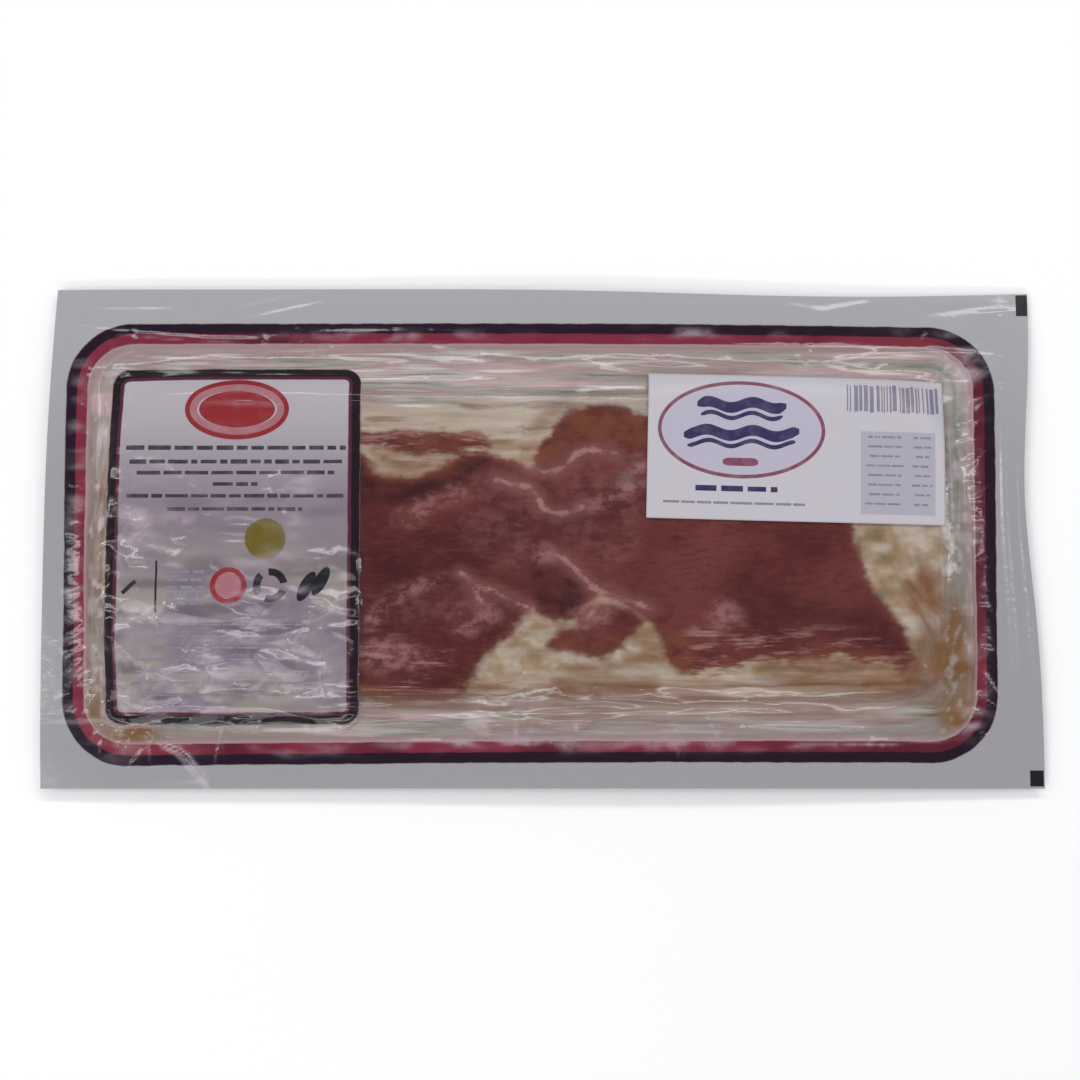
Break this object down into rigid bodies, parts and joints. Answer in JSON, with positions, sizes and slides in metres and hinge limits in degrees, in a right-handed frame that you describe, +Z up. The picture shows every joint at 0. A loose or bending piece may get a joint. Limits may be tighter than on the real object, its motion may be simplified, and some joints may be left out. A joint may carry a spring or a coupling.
{
  "type": "sliced bacon pack",
  "caption": "Flat vacuum pack of sliced back bacon lying face up: a clear window inside a printed frame, an ingredients panel and a paper sticker.",
  "frame": {"origin": "on the table, under the middle of the pack", "axes": "+X along the pack to the right as it is read, +Y away from the reader, +Z up out of the shown face"},
  "size_m": [0.268, 0.1362, 0.0111],
  "materials": {
    "film": "clear, slightly hazy plastic film with a glossy, creased surface",
    "paper": "smooth white sticker paper, slightly cool",
    "meat": "dark red cured lean with cream fat, moist",
    "ink": "flat printing ink in dark purple-navy, red and grey"
  },
  "bodies": {
    "root": {"pack": "film", "label": "paper"}
  },
  "joints": []
}
